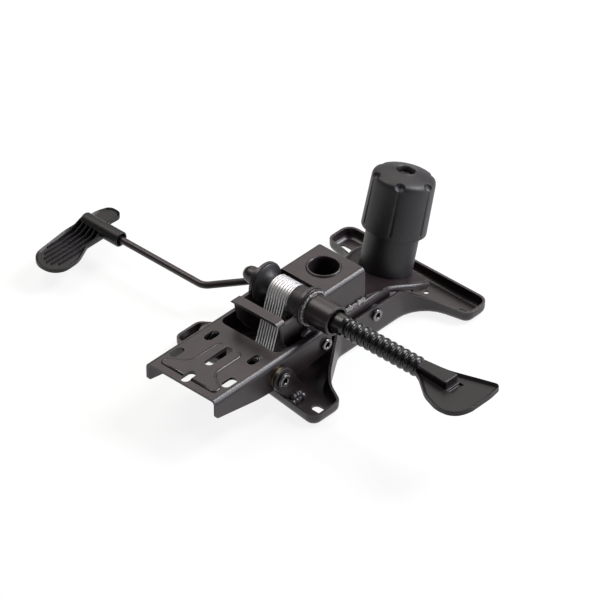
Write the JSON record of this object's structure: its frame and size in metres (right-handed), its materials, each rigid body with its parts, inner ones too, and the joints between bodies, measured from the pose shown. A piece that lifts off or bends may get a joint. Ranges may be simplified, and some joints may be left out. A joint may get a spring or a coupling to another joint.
{
  "type": "office chair tilt mechanism",
  "caption": "Synchro tilt mechanism of an office chair: butterfly seat pan, gas-lift housing, hinged back bracket, friction-plate lock with ribbed handle, gas lever and tension knob.",
  "frame": {"origin": "centre of the four seat slots, on the seat face", "axes": "+X to the lock handle, +Y to the front of the chair, +Z away from the seat, along the gas lift"},
  "size_m": [0.51, 0.3323, 0.1347],
  "materials": {
    "powder_black": "satin black powder coat",
    "zinc": "bright zinc plate",
    "yellow_zinc": "yellow passivated zinc plate",
    "spring_steel": "oiled spring steel",
    "satin_plastic": "black moulded nylon, fine grain",
    "gloss_plastic": "black polypropylene, glossy"
  },
  "bodies": {
    "housing": {"housing_box": "powder_black", "housing_cradle": "powder_black", "gas_socket": "powder_black", "front_axle": "zinc", "rear_pins": "zinc", "rear_spacers": "satin_plastic", "clamp_bolt": "zinc", "clamp_nut": "powder_black", "clamp_flange": "powder_black", "clamp_collars": "satin_plastic", "fixed_discs": "zinc", "clamp_sleeve": "powder_black", "spring_cup": "satin_plastic", "tension_spring": "spring_steel", "return_spring": "spring_steel", "spring_stud": "zinc", "lever_bush": "satin_plastic"},
    "seat_pan": {"seat_pan": "powder_black", "pan_bushes": "satin_plastic", "pivot_ears": "powder_black", "ear_welds": "powder_black", "link_pins": "zinc", "link_washers": "yellow_zinc", "clamp_plates": "zinc", "plate_lugs": "powder_black", "plate_pin": "zinc", "bolt_lugs": "powder_black", "bolt_pin": "zinc"},
    "back_bracket": {"back_bracket": "powder_black", "back_bushes": "satin_plastic"},
    "lock_handle": {"lock_hub": "gloss_plastic", "lock_rod": "zinc", "lock_grip": "gloss_plastic", "lock_paddle": "satin_plastic"},
    "gas_lever": {"gas_rod": "powder_black", "gas_paddle": "satin_plastic"},
    "tension_bolt": {"tension_bolt": "zinc"},
    "thrust_washer": {"thrust_washer": "zinc"},
    "tension_knob": {"tension_knob": "satin_plastic", "knob_insert": "zinc"}
  },
  "joints": [
    {"name": "back_tilt", "type": "hinge", "parent": "housing", "child": "back_bracket", "pos_m": [0, -0.058, 0.0385], "axis": [-1, 0, 0], "range_deg": [0, 20], "stiffness_Nm_per_rad": 40, "springref_deg": -17.19},
    {"name": "seat_tilt", "type": "hinge", "parent": "housing", "child": "seat_pan", "pos_m": [0, 0.0185, 0.027], "axis": [-1, 0, 0], "range_deg": [0, 9.1]},
    {"name": "tension_slide", "type": "slide", "parent": "housing", "child": "tension_bolt", "axis": [0, 0.2622, 0.965], "range_m": [-0.0084, 0], "deforming": ["tension_spring"]},
    {"name": "washer_slide", "type": "slide", "parent": "tension_bolt", "child": "thrust_washer", "axis": [0, 0.2622, 0.965], "range_m": [-0.0061, 0.0016]},
    {"name": "knob_turn", "type": "hinge", "parent": "thrust_washer", "child": "tension_knob", "pos_m": [0, 0.074, 0.0324], "axis": [0, 0.2622, 0.965], "range_deg": [-1440, 360]},
    {"name": "lock_turn", "type": "hinge", "parent": "housing", "child": "lock_handle", "pos_m": [0, -0.0625, 0.076], "axis": [1, 0, 0], "range_deg": [0, 60]},
    {"name": "gas_lever_tilt", "type": "hinge", "parent": "housing", "child": "gas_lever", "pos_m": [-0.0305, -0.0185, 0.03], "axis": [0, -1, 0], "range_deg": [0, 5], "stiffness_Nm_per_rad": 2, "springref_deg": -8.59}
  ],
  "couplings": [
    {"joint": "seat_tilt", "follows": "back_tilt", "ratio": 0.4536},
    {"joint": "tension_slide", "follows": "back_tilt", "m_per_rad": -0.02354},
    {"joint": "washer_slide", "follows": "knob_turn", "m_per_rad": 0.00023873}
  ]
}
